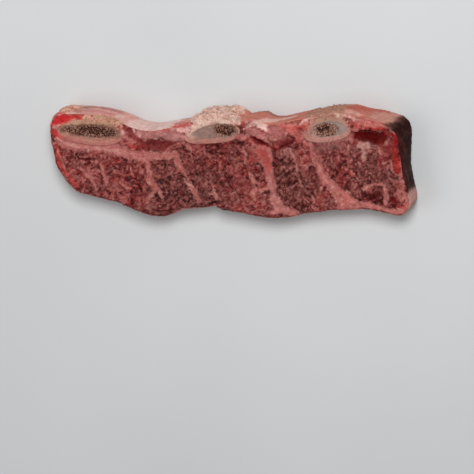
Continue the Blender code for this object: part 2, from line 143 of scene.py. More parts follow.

# Tissue of its own colour that lies over lean and fat, among it some strokes of painted glint and painted
# shade: (colour, share, soft edge, each run)
TISSUE_AND_PAINTED_LIGHT = (
    # The left end: bloody edges, and a pale skin along the top of the first seam
    (RED, 0.95, 0.9, ((-99, 22.5, 1.4), (-96, 24.5, 2.2), (-92, 25.8, 2), (-87, 26.2, 1.1),
     (-81, 26.8, 0.6))),
    (SCARLET, 0.6, 1, ((-90, 25, 1.2), (-84, 27.5, 1))),
    (RED, 0.9, 0.8, ((-99.5, 19.5, 0.9), (-98, 17.5, 1.7), (-96, 15.5, 1.2), (-93.5, 15, 0.4))),
    (PALE, 0.7, 0.8, ((-98.5, 21.8, 0.8), (-95.5, 21.8, 0.9), (-92.5, 21, 0.6))),
    ((156, 84, 68), 0.7, 0.6, ((-94.5, 21, 0.4), (-91, 23.2, 0.7), (-87, 24.6, 0.6), (-83, 25, 0.4))),
    (BLUSH, 0.5, 0.7, ((-93, 22, 0.6), (-88.5, 24.2, 0.8), (-84.5, 25.5, 0.5))),
    (SCARLET, 0.9, 1, ((-99.5, 10.5, 1), (-98, 6, 1.6), (-96.5, 0, 1.5), (-93.5, -5.5, 1.3),
     (-88.5, -12.5, 0.9))),
    (BLUSH, 0.5, 0.4, ((-98.5, 8, 0.3), (-95.5, 2, 0.4), (-94, -3, 0.3))),
    (PALE, 0.55, 0.7, ((-98, 14.5, 0.9), (-93, 12, 0.7), (-87.5, 10.5, 0.9), (-82, 9.6, 0.5))),
    ((198, 126, 120), 0.35, 1.5, ((-92, 10.5, 1.6), (-80, 10.2, 1.6), (-70, 8.8, 2), (-60, 7, 2),
     (-50, 5, 1.8))),
    (PALE, 0.45, 0.5, ((-78, 8.8, 0.4), (-70, 8.2, 0.5), (-62, 6.5, 0.4))),
    (ROSE, 0.5, 0.5, ((-96, 12, 0.3), (-88, 8.2, 0.4), (-79, 11.2, 0.3), (-69, 10.4, 0.4))),
    (MAUVE, 0.5, 0.8, ((-90, -6, 1.5), (-86, -8, 1.8))),
    (PINK, 0.4, 1.2, ((-91, 3.5, 0.8), (-88, 1, 1.5), (-85.5, -1, 0.8))),
    ((170, 96, 86), 0.6, 0.9, ((-96.5, 19.5, 0.6), (-95.5, 17, 0.9), (-92, 14.5, 0.7))),
    # Between the left and the middle rib
    (WINE, 0.7, 0.9, ((-58, 24, 0.8), (-56.5, 21, 1.5), (-53.5, 18, 1.6), (-51.5, 15.5, 1.9),
     (-49, 13.5, 1.2))),
    (LILAC, 0.85, 1.3, ((-50, 18, 1.9), (-44, 17.3, 2.5), (-36, 17, 2.5), (-29, 16.8, 2.2),
     (-25, 16.5, 1.2))),
    (PINK, 0.55, 0.8, ((-60, 20.5, 1), (-58, 15.5, 1.6), (-54, 12.8, 1.1))),
    (SCARLET, 0.75, 0.7, ((-56, 10.5, 0.7), (-52, 10.4, 1), (-48, 11.5, 0.8))),
    # A dark band below the lilac muscle, painted shade of a hollow
    ((108, 32, 33), 0.72, 1.3, ((-50, 10, 1.4), (-46, 10.6, 2.7), (-40, 10.6, 2.9), (-34, 11, 2.3),
     (-26, 12.3, 1.2))),
    ((128, 52, 50), 0.6, 0.8, ((-33, 8.5, 0.8), (-29, 10, 1), (-25, 10.5, 0.6))),
    (SCARLET, 0.6, 1, ((-48, 20.3, 0.7), (-40, 19.8, 0.7), (-31, 20, 0.8))),
    ((198, 134, 130), 0.7, 1.2, ((-35, 14.8, 0.8), (-29, 14.8, 1.7), (-24.5, 15, 1.5))),
    (RED, 0.75, 1, ((-29, 21.8, 1), (-25, 22.4, 1.8), (-21.5, 21.8, 1))),
    ((234, 178, 170), 0.65, 0.9, ((-30, 20.2, 0.8), (-25, 19.4, 1.2), (-21, 20.3, 0.9))),
    (PINK, 0.6, 0.4, ((-37, 6.8, 0.3), (-33, 9.2, 0.4), (-28.5, 11.6, 0.3), (-25, 12, 0.2))),
    (PINK, 0.5, 0.4, ((-34.5, 6.8, 0.3), (-30.5, 9.2, 0.4), (-26, 10.5, 0.3))),
    (PALE, 0.65, 0.8, ((-27, 19.5, 0.8), (-23, 18.5, 1.3), (-22.5, 16.5, 0.8))),
    ((226, 176, 166), 0.55, 1, ((-24, 20.3, 0.7), (-19.5, 21.8, 1.2), (-17, 22.6, 0.9))),
    # White specks of painted glint on and round the lilac muscle
    (PAINTED_GLINT, 0.8, 0.5, ((-22.6, 19.5, 0.3), (-22.2, 17.5, 0.4)), ((-52.3, 19.8, 0.3), (-52, 18.4, 0.4))),
    (PAINTED_GLINT, 0.7, 0.5, ((-49, 17, 0.3), (-49, 15.9, 0.2)), ((-41.2, 14.4, 0.2), (-40.2, 14.3, 0.3))),
    (PAINTED_GLINT, 0.55, 0.5, ((-46.5, 14.9, 0.3), (-46, 14.7, 0.2))),
    (PAINTED_GLINT, 0.6, 0.5, ((-58.3, 18.8, 0.3), (-58.5, 17.4, 0.3))),
    # Lean that shows through two of the seams
    (MAUVE, 0.4, 1, ((-47, 1, 0.7), (-46, -6, 0.8), (-44.5, -12, 0.8), (-46.5, -18, 0.5))),
    ((200, 110, 104), 0.55, 1.4, ((59.5, -12.5, 0.8), (63.5, -17.5, 1.8), (66, -20.5, 2))),
    ((182, 120, 115), 0.6, 1.5, ((20.5, -4, 1.4), (21.5, -9, 1.8), (22.5, -15, 1.8), (25, -21, 2),
     (29, -25, 1.8))),
    # Below the middle rib; the first, maroon stroke is a painted shadow under the rib's wall
    (MAROON, 0.6, 0.6, ((-12, 9.8, 0.3), (-5, 10.6, 0.6), (3, 12, 0.6), (8, 13.4, 0.4))),
    (FLESH, 0.5, 0.9, ((-28, 6, 0.8), (-25, 1.5, 0.9), (-22.5, -3, 0.8))),
    (PALE, 0.75, 0.4, ((-26, -9.5, 0.3), (-24.5, -11, 0.6), (-22.5, -12, 0.3))),
    (MAUVE, 0.5, 0.8, ((-19, -16, 1.1), (-13.5, -17.5, 1.5))),
    ((190, 114, 107), 0.8, 1.2, ((4.5, 14.3, 0.7), (8, 15.4, 1.6), (11, 15.6, 1.1))),
    ((162, 92, 88), 0.4, 1.5, ((4, 9, 1.5), (10, 8.5, 1.5))),
    ((184, 118, 112), 0.65, 1.2, ((-11, -16, 1), (-8.5, -19, 1.6))),
    # Between the middle and the right rib
    (SCARLET, 0.6, 0.8, ((9.5, 24.5, 0.9), (10.5, 22, 1), (11.5, 18.5, 0.6))),
    ((178, 112, 108), 0.75, 0.9, ((12.5, 18, 1.8), (16.5, 18, 2.2), (19, 15.5, 1.4))),
    ((170, 104, 100), 0.75, 1.2, ((25, 18.5, 2.6), (29, 18, 3), (30, 15.5, 2.4))),
    ((182, 114, 108), 0.65, 1.2, ((18.5, 16.2, 0.9), (22, 15.6, 1.5), (25, 15, 1))),
    (MAUVE, 0.6, 0.7, ((25.5, 20.8, 0.6), (29.5, 20.5, 0.7), (32.5, 19, 0.6), (32.5, 16, 0.6))),
    ((112, 34, 34), 0.65, 1, ((26, 11.8, 1.6), (30, 12.8, 1.8), (34.5, 13.5, 1.2))),
    ((196, 98, 90), 0.75, 1.4, ((31, 21.5, 1.4), (37, 19.8, 2.4), (40.5, 16.5, 2), (40, 12.5, 1.2))),
    ((208, 122, 108), 0.55, 1.2, ((37, 22.3, 1), (41.5, 22.8, 1.6), (45.5, 23, 1))),
    (CRIMSON, 0.55, 0.9, ((38.5, 20.5, 0.8), (42.5, 21.3, 1.2), (46, 21.5, 0.6))),
    ((140, 40, 40), 0.6, 1.2, ((12.5, 15, 0.8), (17, 12.5, 1.8), (22, 10, 1.2), (27, 9.5, 1))),
    ((118, 8, 12), 0.95, 0.8, ((13.5, 15.3, 0.6), (16, 13.8, 1.4), (19, 11.8, 1.4), (21.5, 10.5, 0.7))),
    ((104, 14, 16), 0.8, 0.9, ((22, 9.8, 0.5), (27, 9, 0.9), (31, 10.3, 1.3), (34.5, 11.6, 1.1),
     (37, 14, 1.2))),
    ((228, 186, 176), 0.9, 0.9, ((17, 23.5, 1.3), (20.5, 22.3, 2.5), (22.3, 19.7, 1.4))),
    # White specks of painted glint
    (PAINTED_GLINT, 0.8, 0.4, ((10.2, 20.6, 0.4), (9.8, 19.6, 0.3)), ((14, 21.4, 0.4), (15, 21.8, 0.3))),
    (BLUSH, 0.75, 0.9, ((12, 21, 0.8), (14.5, 21.8, 1.2), (16.5, 21.5, 0.8))),
    (PALE, 0.85, 0.5, ((41.3, 22.5, 0.6), (43.5, 24.3, 0.9), (46.5, 25.8, 1), (49.5, 26.8, 0.6))),
    (PALE, 0.6, 0.6, ((46.5, 21.5, 0.5), (48, 23.5, 0.6))),
    ((164, 64, 60), 0.8, 2, ((16.5, 8, 1.4), (20.5, 5, 2.8), (21.5, 0, 2.4), (22, -4, 1.4))),
    (WINE, 0.55, 1, ((26, 4.5, 0.8), (27.5, 0.5, 1), (26.5, -3, 0.6))),
    (PINK, 0.55, 1, ((41.5, 18, 1.2), (43.5, 13, 1.6), (46, 9, 1))),
    ((144, 92, 88), 0.65, 1.5, ((46, 9.5, 0.8), (54, 9.5, 1.8), (63, 10.5, 2))),
    # Beyond the right rib: the bloody hollow, the red rim and the fat along the end
    (CREAM, 0.8, 0.5, ((61.8, 28.5, 0.5), (63, 26.5, 0.8), (64.2, 24.5, 0.5))),
    (PALE, 0.85, 0.7, ((65.5, 27.5, 1.2), (68.5, 27.3, 1.6), (72, 25.2, 0.8), (75.5, 24.3, 0.5))),
    ((206, 118, 108), 0.75, 1.2, ((72.5, 23.3, 1), (78, 22.5, 1.9), (84, 21.8, 1.8), (87.5, 20.8, 0.9))),
    (SCARLET, 0.5, 0.8, ((70, 22.5, 1), (74, 20.5, 1), (78, 19.8, 0.6))),
    ((150, 66, 62), 0.68, 1, ((67, 22, 1.2), (69.5, 18, 1.5), (71, 12.5, 1.3))),
    ((84, 5, 5), 0.98, 1, ((72.8, 15.4, 2.4), (76, 14.9, 3), (82, 14.2, 3.1), (86.5, 14.2, 2.4))),
    (CRIMSON, 0.8, 0.9, ((80, 20, 0.7), (85, 20, 1.2), (88, 18.3, 0.7))),
    (PALE, 0.35, 0.7, ((87.5, 20.5, 0.7), (90.5, 19.5, 1), (92.8, 17.6, 0.6))),
    ((150, 22, 25), 0.65, 1, ((86, 17.2, 0.7), (89.5, 16, 1.2))),
    ((132, 16, 20), 0.85, 1, ((91.5, 17, 1), (93.5, 14, 1.4), (93, 10.5, 1))),
    (PALE, 0.55, 0.6, ((87.8, 12.3, 0.8), (89, 12, 0.8))),
    ((112, 22, 21), 0.62, 2, ((91, 13, 1.5), (92.5, 5, 1.8), (92.5, -4, 1.5))),
    ((180, 46, 42), 0.6, 2, ((91.5, 8.5, 0.9), (93, 4, 1.4), (93.5, 0, 1.4), (93.3, -4, 0.9))),
    (FLESH, 0.55, 0.8, ((92.5, -9.5, 1.5), (93, -13.5, 1.4))),
    (PINK, 0.8, 0.9, ((92.3, -15.5, 1.4), (93.5, -19, 1.6))),
    (WINE, 0.7, 0.6, ((88.3, -18.5, 1.1), (89.8, -21, 1.2))),
    (SCARLET, 0.6, 0.8, ((91, -22.5, 0.7), (94, -23, 0.7), (96.5, -21, 0.5))),
    (BLUSH, 0.7, 1, ((73.5, 10.5, 1.5), (77.5, 10, 1.8))),
    (BLUSH, 0.55, 1, ((75.5, 6.5, 1.6), (74.5, 3.5, 1.1))),
    (PINK, 0.5, 1, ((72.5, 0.5, 1.2), (73.5, -2.5, 0.9))),
    (BLUSH, 0.3, 1, ((83, 9, 1.5), (84.5, 6.5, 1.2))),
    (CRIMSON, 0.4, 0.8, ((84, 4.5, 1.1), (83, 1.5, 0.9))),
    ((104, 32, 30), 0.75, 1.5, ((85, 11.8, 1.2), (88, 9.8, 2.2), (90.3, 5.8, 1.6))),
    (WINE, 0.55, 0.9, ((58.5, 4, 0.9), (61, 0.5, 1.2), (61.5, -4, 1.4), (62.5, -11, 1.2))),
    (MAROON, 0.75, 1, ((75.5, -16, 1.2), (79, -16.8, 2.2), (82.8, -15.5, 1.6))),
    (ROSE, 0.45, 0.8, ((75.5, -13, 0.8), (79, -12.5, 1))),
    (MAROON, 0.7, 0.7, ((87.8, -14.5, 0.6), (88.5, -17.5, 0.8))),
    (PINK, 0.6, 0.6, ((72.5, -21.5, 0.9), (80, -23, 0.9), (88.5, -25.5, 0.9), (95, -25, 1.1),
     (99.5, -20, 0.9))),
)

# Tissue down the rib side in the same form, but with the depth below the cut face instead of y, with a last
# stroke of painted shade at the far corner
RIB_SIDE = (
    ((196, 122, 116), 0.6, 0.8, ((-89, 5, 0.8), (-80, 6.5, 1.2), (-70, 6, 1.2), (-63, 5, 0.8))),
    # A pale streak on the membrane over the left rib, partly its own pale colour and partly a painted
    # highlight
    ((226, 178, 166), 0.6, 0.8, ((-84, 10, 0.7), (-76, 10.5, 1.1), (-68, 10, 0.7))),
    ((230, 184, 162), 0.8, 0.7, ((-95, 7, 0.9), (-92, 5.5, 1.2), (-89.5, 5.5, 0.8))),
    ((224, 170, 148), 0.8, 0.7, ((-90, 10, 1), (-86.5, 9, 1.2), (-84, 7.5, 0.6))),
    ((182, 92, 66), 0.75, 0.6, ((-97, 5, 0.4), (-94, 8.5, 0.7), (-90, 7.8, 0.6), (-87, 6.5, 0.4))),
    ((190, 74, 68), 0.7, 0.7, ((-93, 3, 0.5), (-88, 3, 0.7), (-84, 3.5, 0.5))),
    (RED, 0.8, 1, ((-101, 1, 0.6), (-97, 1.5, 1.6), (-92, 1, 0.8))),
    (RED, 0.8, 1, ((-29, 1.2, 1), (-25.5, 1.5, 2), (-22, 1, 1))),
    (CREAM, 0.8, 0.9, ((-88, 2.5, 1.2), (-86.5, 0.5, 1))),
    (UMBER, 0.6, 1.5, ((-86, 11, 1), (-84, 14, 1.2))),
    (UMBER, 0.45, 2, ((-80, 15, 1.5), (-72, 14.5, 2), (-64, 13, 1.5))),
    (CREAM, 0.85, 0.8, ((-62.3, 4.5, 1), (-62.8, 9, 1.2))),
    (SCARLET, 0.5, 1.5, ((-31, 6, 1), (-26, 5, 2.5), (-21, 4, 1.5))),
    ((222, 178, 166), 0.85, 1.5, ((19, 1, 1.8), (22, 5, 2.8), (28, 8, 2.4), (35, 8, 1.4))),
    (UMBER, 0.75, 1.5, ((12, 17, 1), (18, 16, 1.6), (25, 17, 1))),
    (PALE, 0.8, 1.5, ((65, 3, 1.5), (68, 4, 2.5), (73, 4, 1.2))),
    ((178, 92, 78), 0.85, 1.6, ((66, 11, 3), (74, 14, 3.2), (83, 16.5, 1.6))),
    (SCARLET, 0.6, 1.4, ((76, 0.5, 0.8), (84, 1, 1.5), (88, 1.5, 0.8))),
    ((176, 94, 80), 0.5, 2, ((40, 15, 2), (48, 15, 2))),
    # Near-black painted shade at the far corner of the rib side
    (PAINTED_SHADE, 0.85, 1.5, ((85.5, 2, 0.5), (89, 3, 1.9), (92.5, 5, 3), (96, 6, 4))),
)

# Colour on the far end in the same form, but with y and the depth: a dark red band, partly the end's own
# darker meat and partly painted shade, and faint rose streaks of painted highlight
END_SIDE = (
    ((92, 18, 18), 0.4, 1.5, ((18, 0.5, 0.8), (8, 1.2, 1.2), (-4, 1.5, 1.2), (-13, 2.5, 1))),
    (ROSE, 0.12, 1.5, ((13, 3, 0.6), (7, 6, 0.9), (2, 8, 0.6))),
    (ROSE, 0.12, 1.5, ((1, 2.5, 0.6), (-6, 5.5, 0.9), (-11, 7, 0.6))),
)

# Crumbly fat and bone dust along the rims over the ribs, as (colour, how far down the side, run)
CRUMBS = (
    (GOLD, 1.4, ((-86, 26, 0.6), (-76, 26.8, 1), (-67, 26.2, 1.2), (-61.5, 24.3, 1.1), (-59.3, 21.5, 0.6))),
    (CREAM, 30, ((-18, 24.5, 1.4), (-14, 26, 2.4), (-8, 28.5, 3.5), (-1, 28, 3.5), (4.5, 26.5, 2.2),
     (8, 22.5, 0.7))),
    (TAN, 30, ((48, 26, 1.2), (54, 28, 2.8), (60, 28.5, 3), (65, 28, 1.6))),
)

# The crumbs' edges drift this far along the strip for each millimetre of depth
CRUMB_LEAN = 0.3

# The muscles: (x, y, reach, tone from 0, dark, to 1, pale, how red, how upright the fibre bundles run)
MUSCLES = (
    (-80, -6, 14, 0.5, 0.5, 0.4), (-70, -16, 9, 0.39, 0.6, 0.6), (-60, -8, 9, 0.46, 0.7, 0.7),
    (-34, -6, 9, 0.38, 0.2, 0), (-36, -18, 8, 0.33, 0.2, 0.2), (-15, 3, 9, 0.42, 0.5, 0.3),
    (-15, -12, 8, 0.33, 0.2, 0.4), (3, -3, 9, 0.42, 0.6, 0.8), (14, -19, 6, 0.44, 0.5, 0.5),
    (33, 3, 6, 0.38, 0.1, 0.9), (35, -14, 8, 0.38, 0.1, 1), (45, -7, 6, 0.42, 0.3, 0.6),
    (43, 6, 5, 0.46, 0.7, 0.5), (50, -18, 6, 0.43, 0.5, 0.5), (60, 4, 7, 0.5, 0.5, 0.5),
    (66, -6, 5, 0.45, 0.6, 1), (76, 4, 8, 0.5, 0.2, 0.4), (80, -7, 8, 0.39, 0.1, 0.4),
    (80, -17, 5, 0.24, 0.6, 0.4), (91, -20, 4, 0.32, 0.7, 0.5), (-38, 10.5, 11, 0.32, 0.6, 0),
    (-38, 17, 12, 0.7, 0.4, 0), (-55, 17, 6, 0.6, 0.6, 0.6), (28, 17.5, 7, 0.62, 0.4, 0.5),
    (17, 18.5, 5, 0.66, 0.4, 0.5), (53, 10, 6, 0.52, 0.3, 0.3), (74, 8, 5, 0.62, 0.3, 0.5),
    (66, 22, 5, 0.62, 0.4, 0.5), (-92, 20, 7, 0.62, 0.5, 0.5), (-62, 24, 6, 0.6, 0.4, 0.5),
    (44, 24, 5, 0.64, 0.5, 0.5), (-18, 12, 5, 0.46, 0.4, 0.2), (2, 11, 7, 0.4, 0.5, 0.1),
    (88, 4, 5, 0.42, 0.6, 0.6), (4, -12, 4, 0.24, 0.5, 0.6), (-75, -6, 3, 0.36, 0.5, 0.5),
)

# What covers the sides: (colour, how lumpy, each place (x, y) round the strip)
SIDE_PATCHES = (
    ((212, 96, 92), 0.3, (-101, 20)),
    (CREAM, 0.9, (-98, 25)),
    ((220, 170, 150), 1, (-92, 28.5)),
    (BLUSH, 0.6, (-86, 29)),
    ((214, 149, 141), 0.1, (-79, 28), (-70, 26.5)),
    (PALE, 0.2, (-61, 23), (72, -25)),
    ((226, 188, 180), 0, (-53, 20.5), (-44, 19)),
    (PEACH, 0.1, (-35, 20)),
    (PALE, 0.4, (-28, 21)),
    (CREAM, 0.7, (-21, 23.5)),
    (CREAM, 1, (-12, 27), (-4, 28.5), (2, 26.5)),
    (SALMON, 0.1, (7.5, 25), (14, 25), (20, 23), (27, 22.5), (34, 23.5), (75, 26)),
    (SALMON, 0.2, (40, 25), (69, 28)),
    (TAN, 0.7, (48, 27), (63, 29)),
    (TAN, 0.8, (56, 29)),
    ((192, 136, 122), 0, (81, 25), (87, 22)),
    # Along the far end the side is painted near-black: painted shade
    (PAINTED_SHADE, 0.1, (94, 18), (97, 20), (97, 10), (97, 0), (98, -11)),
    (BLUSH, 0.2, (99, -20)),
    (BLUSH, 0.3, (96, -26), (88, -28), (60, -26), (-24, -25)),
    (ROSE, 0.3, (44, -27), (12, -28), (-10, -20), (-45, -29), (-82, -18)),
    (PALE, 0.3, (28, -29)),
    (FLESH, 0.3, (-4, -25), (-62, -23)),
    ((204, 104, 98), 0.3, (-95, -8)),
    ((208, 112, 106), 0.3, (-101, 5)),
)

# Each sawn rib as in the part's source, then its looks in its own axes: core, the middle of dense bone,
# sponge, its open part, and dark, the most open, each as (along, across, half length, half height), the
# colours of the wall and of its fatty rim, and the tissue above and below it, as (colour, share)
RIBS = {
    "left": dict(
        centre=(-78, 18.2), length=37, height=14, tilt=-4, taper=0.16, arch=0.4,
        core=(0.5, 1, 17.6, 4), sponge=(0.4, 1, 17.5, 3.9), dark=(0.5, 0.8, 15, 2.6),
        upper=(178, 140, 114), lower=(176, 128, 112), dense=(126, 87, 71), rim=(184, 112, 104),
        crest=(GOLD, 0.5), hem=((184, 108, 102), 0.8),
    ),
    "middle": dict(
        centre=(-8.2, 18.5), length=31.2, height=12.8, tilt=8.8, taper=0.18, arch=1.9,
        core=(1.6, 0, 13.6, 3.9), sponge=(8.2, 0.5, 7.7, 3.8), dark=(8.4, -0.2, 6.6, 2.7),
        upper=(208, 172, 154), lower=(176, 122, 112), dense=(146, 114, 104), rim=(178, 118, 106),
        # Below the middle rib the hem's dark colour is a painted shadow under the wall
        crest=(CREAM, 0.8), hem=((128, 48, 46), 0.5),
    ),
    "right": dict(
        centre=(56, 19.6), length=26, height=13.5, tilt=9, taper=0.05, arch=1.6,
        core=(1.3, 0.2, 9.6, 4.3), sponge=(-1.7, -0.2, 8.6, 4.2), dark=(-2.6, 0.5, 5.6, 2),
        upper=(170, 124, 104), lower=(180, 130, 119), dense=(150, 130, 122), rim=(180, 126, 116),
        crest=(TAN, 0.8), hem=((160, 102, 96), 0.7),
    ),
}

# Widths of the lean's folds, of its web of pale lines, of fibre bundles and of crumbs
FOLD_SIZE = 2.4
WEB_SIZE = 3.4
BUNDLE_SIZE = 8.5
LUMP_SIZE = 4.4

# How far the pattern wanders and ripples, over waves of that size, and how the sides wander
WANDER, WANDER_SIZE = 0.8, 5.0
RIPPLE, RIPPLE_SIZE = 0.45, 1.6
SIDE_WANDER = 1.6

# How folds stretch where the fibres lie along the strip, and where they stand across it
LYING = (0.75, 1.15, 0.7)
STANDING = (1.15, 0.75, 0.7)

# Relief of the meat. The grain's tops level off at GRAIN_TOP spreads, and its pits are deeper
GRAIN_TOP = 1.5
GRAIN_PIT = 1.15
GRAIN_HEIGHT = 0.24
CRACK_DEPTH = 0.6
CLEFT_DEPTH = 0.9
POOL_DEPTH = 0.9
VEIN_HEIGHT = 0.08
LUMP_HEIGHT = 0.65
CRUMB_GRIT = 0.35
FAT_WAVES = (0.16, 0.12)

# A hollow that blood fills
POOLS = (((73.2, 15.4, 1.9), (76, 14.9, 2.6), (82, 14.2, 2.8), (86.5, 14.2, 2.0)),)

# The meat's ragged lip over each rib, and the rib's worn rim, pores, saw marks and swelling
LIP_REACH = 1.7
LIP_HEIGHT = 0.15
WORN_RIM = 0.4
PORE_DEPTH = 0.5
SAW_MARKS = 0.12
WALL_SWELL, WALL_ROUGH = 0.30, 0.15
CORE_SWELL = 0.5

# Colours of the materials. Each ramp from dark to light goes with its stops
LEAN_STOPS = (0.0, 0.2, 0.42, 0.62, 0.82, 1.0)
BROWN_LEAN = ((48, 15, 13), (80, 33, 29), (112, 56, 52), (140, 82, 77), (176, 116, 110), (204, 152, 144))
RED_LEAN = ((52, 8, 9), (92, 22, 22), (126, 42, 40), (150, 62, 58), (178, 94, 88), (202, 134, 124))
FAT_STOPS = (0.15, 0.4, 0.6, 0.9)
SEAM_FAT = ((136, 62, 59), (161, 86, 81), (180, 108, 101), (210, 153, 144))
SPONGE_STOPS = (0.0, 0.3, 0.55, 0.8, 1.0)
SPONGE = ((40, 14, 9), (82, 46, 36), (123, 81, 66), (153, 111, 94), (175, 136, 120))
FLOOR_STOPS = (0.3, 0.7)
FLOOR = ((208, 210, 211), (214, 216, 217))
# The first colour here is for pale flecks: partly fat specks, partly painted glints
FLECK_AND_GLINT, WEB, MARBLING = (214, 162, 152), (184, 120, 112), (190, 120, 112)
# The first two colours here are painted shade, in the lean's cracks and in its clefts
CRACK_SHADE, CLEFT_SHADE, STAIN = (44, 9, 9), (64, 8, 10), (172, 104, 94)
# The last two colours here are painted shade, in the crumbs' fine crevices and in the low ground between
# their lumps
TOASTED, FINE_CREVICE_SHADE, CRUMB_BORDER_SHADE = (176, 116, 86), (146, 84, 66), (138, 82, 58)


def ease(low, high, value):
    """0 below low, 1 above high, and a soft ramp between."""
    t = np.clip((value - low) / (high - low), 0.0, 1.0)
    return t * t * (3.0 - 2.0 * t)


def noise_at(points, size, seed):
    """Smooth noise, about -1 to 1, with features of that size."""
    return np.array([noise.noise(p) for p in (points / size + seed).tolist()])


def fractal_at(points, size, seed):
    """Noise with four octaves, about -1 to 1."""
    return np.array([noise.fractal(p, 0.7, 2.0, 4) for p in (points / size + seed).tolist()])


def smooth_run(run, samples=4):
    """A Catmull-Rom curve through a run of points."""
    run = np.array(run, float)
    padded = np.vstack([run[:1], run, run[-1:]])
    curve = []
    for i in range(len(run) - 1):
        a, b, c, d = padded[i:i + 4]
        for t in np.arange(samples) / samples:
            curve.append(0.5 * (2 * b + (c - a) * t + (2 * a - 5 * b + 4 * c - d) * t ** 2
                                + (3 * b - a - 3 * c + d) * t ** 3))
    return np.array(curve + [run[-1]])


def inside_runs(points, runs, far=-6.0):
    """How deep each (x, y) lies inside the nearest run of (x, y, half width), negative outside."""
    deepest = np.full(len(points), far)
    for run in runs:
        curve = smooth_run(run)
        for a, b in zip(curve, curve[1:]):
            along = b[:2] - a[:2]
            t = np.clip((points - a[:2]) @ along / (along @ along), 0.0, 1.0)
            away = np.linalg.norm(points - a[:2] - t[:, None] * along, axis=1)
            deepest = np.maximum(deepest, a[2] + (b[2] - a[2]) * t - away)
    return deepest


def drawn(points_in_frame):
    """Frame metres as millimetres in the drawing plane."""
    return points_in_frame / MM - SHIFT


def leant_back(place):
    """The (x, y) of the cut face that each place lies under, along the ribs' lean."""
    flat = place[:, :2].copy()
    flat[:, 0] -= RIB_LEAN * np.maximum(THICKNESS - place[:, 2], 0.0) / THICKNESS
    return flat


def srgb(colour):
    """A colour given as 0-255 screen values, in linear light."""
    share = np.array(colour, float) / 255.0
    return np.where(share <= 0.04045, share / 12.92, ((share + 0.055) / 1.055) ** 2.4)


def paint(colours, over, share):
    """Each vertex's colour with another laid over it by its share."""
    share = share[:, None]
    return colours * (1.0 - share) + over * share


def read_points(mesh):
    """The mesh's vertices and their normals."""
    points, normals = np.empty((2, len(mesh.vertices) * 3))
    mesh.vertices.foreach_get("co", points)
    mesh.vertex_normals.foreach_get("vector", normals)
    return points.reshape(-1, 3), normals.reshape(-1, 3)


def store(mesh, **fields):
    """Keeps numbers or colours for each vertex, for the materials."""
    for name, values in fields.items():
        kind, field = "FLOAT", "value"
        if values.ndim == 2:
            kind, field = "FLOAT_COLOR", "color"
            values = np.hstack([values, np.ones((len(values), 1))])
        attribute = mesh.attributes.new(name, kind, "POINT")
        attribute.data.foreach_set(field, values.astype(np.float32).ravel())


def add_object(name, data):
    """A new object in the scene."""
    made = bpy.data.objects.new(name, data)
    bpy.context.scene.collection.objects.link(made)
    return made


def dense_copy(node, name, voxel, smoothing):
    """A finely remeshed copy of a CAD node, for detail that its own faces can't hold."""
    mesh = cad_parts[node].data.copy()
    welded = bmesh.new()
    welded.from_mesh(mesh)
    bmesh.ops.remove_doubles(welded, verts=welded.verts, dist=1e-6)
    welded.to_mesh(mesh)
    welded.free()
    piece = add_object(name, mesh)
    remesh = piece.modifiers.new("voxels", "REMESH")
    remesh.mode = "VOXEL"
    remesh.voxel_size = voxel * MM
    smooth = piece.modifiers.new("smooth", "SMOOTH")
    smooth.iterations = smoothing
    graph = bpy.context.evaluated_depsgraph_get()
    dense = bpy.data.meshes.new_from_object(piece.evaluated_get(graph))
    piece.modifiers.clear()
    piece.data = dense
    dense.name = name
    dense.materials.clear()
    dense.shade_smooth()
    return piece


def move_points(mesh, points, offsets):
    """Moves vertices by millimetres, never below the resting face or above HIGHEST."""
    moved = points + offsets * MM
    moved[:, 2] = np.clip(moved[:, 2], 0.0, HIGHEST * MM)
    mesh.vertices.foreach_set("co", moved.ravel())
    mesh.update()


def side_cover(flat):
    """Colour and lumpiness of the side nearest to each (x, y)."""
    patches = np.array([
        (x, y, *srgb(colour), lumpy) for colour, lumpy, *places in SIDE_PATCHES for x, y in places
    ])
    away = np.linalg.norm(flat[:, None, :] - patches[:, :2], axis=2)
    weights = 1.0 / (away + 0.5) ** 3.5
    weights /= weights.sum(axis=1, keepdims=True)
    return weights @ patches[:, 2:5], weights @ patches[:, 5]


def tissue_cover(flat, ragged, strokes):
    """Colour and share of the tissue over each (x, y), the later strokes over the earlier."""
    colours = np.zeros((len(flat), 3))
    covered = np.zeros(len(flat))
    for colour, share, soft, *runs in strokes:
        reach = inside_runs(flat, runs) + ragged
        here = share * ease(-soft, soft, reach)
        left = covered * (1.0 - here)
        total = left + here
        mixed = colours * left[:, None] + srgb(colour) * here[:, None]
        colours = mixed / np.maximum(total, 1e-6)[:, None]
        covered = total
    return colours, covered


def muscle_at(flat):
    """The muscle's tone, redness and fibre direction at each (x, y)."""
    muscles = np.array(MUSCLES)
    away = np.linalg.norm(flat[:, None, :] - muscles[:, :2], axis=2)
    weights = np.exp(-(away / muscles[:, 2]) ** 2)
    weights /= weights.sum(axis=1, keepdims=True) + 1e-6
    return (weights @ muscles[:, 3:]).T


def folds_at(place, size, seed):
    """Puffy lobes with creases between them: 0 in a crease, about 1 on a lobe's top."""
    large = np.abs(noise_at(place, size, seed))
    small = np.abs(noise_at(place, 0.45 * size, seed + 31.0))
    return large * 2.6 + small * 1.7


def bundles_at(flat, size):
    """Uneven cells: 1 in the creases between them, and a tone from -1 to 1 for each cell."""
    crease = np.zeros(len(flat))
    tone = np.zeros(len(flat))
    for i, (x, y) in enumerate((flat / size).tolist()):
        reach, centres = noise.voronoi((x, y, 0.0))
        crease[i] = reach[1] - reach[0]
        tone[i] = noise.cell(centres[0] * 7.0)
    return ease(0.3, 0.0, crease), tone


def rib_turn(rib):
    """The matrix that turns the drawing plane into a rib's own axes."""
    turn = math.radians(rib["tilt"])
    return np.array([[math.cos(turn), math.sin(turn)], [-math.sin(turn), math.cos(turn)]])


